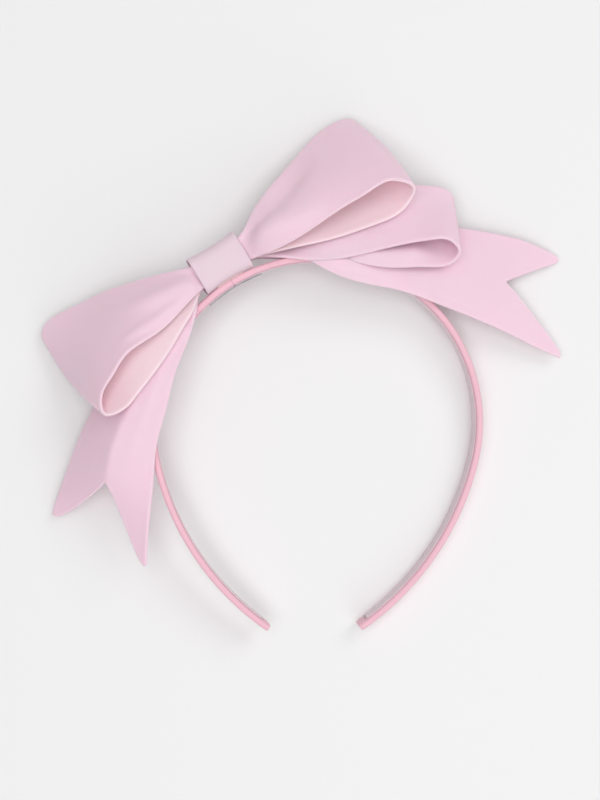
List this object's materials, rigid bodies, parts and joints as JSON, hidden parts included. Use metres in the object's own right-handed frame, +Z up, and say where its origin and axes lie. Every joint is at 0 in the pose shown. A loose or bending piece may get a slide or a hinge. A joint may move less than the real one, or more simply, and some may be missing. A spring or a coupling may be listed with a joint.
{
  "type": "bow hair band",
  "caption": "Springy C-shaped hair band covered in pale pink fabric, with a large soft looped bow and forked tails set to one side of its crown.",
  "frame": {"origin": "On the table under the middle of the bow band's outline, at the height of the lowest point.", "axes": "+Z up from the table it lies on, +Y towards the crown, +X towards the arm on the bow's free side."},
  "size_m": [0.217, 0.2132, 0.0448],
  "materials": {
    "cover_fabric": "soft matte satin",
    "lining_fabric": "matte ribbon",
    "bow_fabric": "soft matte satin",
    "knot_fabric": "soft matte satin",
    "thread": "twisted thread",
    "hoop_plastic": "moulded",
    "glue": "set adhesive",
    "plate_metal": "bright, plain"
  },
  "bodies": {
    "crown": {"core_crown": "hoop_plastic", "cover_crown": "cover_fabric", "lining_crown": "lining_fabric", "inner_plate": "plate_metal", "knot_wrap": "knot_fabric", "waist_thread": "thread", "glue_pad": "glue", "right_loop": "bow_fabric", "left_loop": "bow_fabric", "second_loop": "bow_fabric", "right_tail": "bow_fabric", "left_tail": "bow_fabric"},
    "left_arm": {"core_left_arm": "hoop_plastic", "cover_left_arm": "cover_fabric", "lining_left_arm": "lining_fabric"},
    "right_arm": {"core_right_arm": "hoop_plastic", "cover_right_arm": "cover_fabric", "lining_right_arm": "lining_fabric"}
  },
  "joints": [
    {"name": "left_arm_flex", "type": "hinge", "parent": "crown", "child": "left_arm", "pos_m": [-0.04581, 0.02146, 0.02183], "axis": [-0.1125, 0.0534, -0.9922], "range_deg": [-2, 10], "stiffness_Nm_per_rad": 1.5},
    {"name": "right_arm_flex", "type": "hinge", "parent": "crown", "child": "right_arm", "pos_m": [0.05941, 0.02043, 0.00984], "axis": [0.1125, -0.0534, 0.9922], "range_deg": [-2, 10], "stiffness_Nm_per_rad": 1.5}
  ]
}
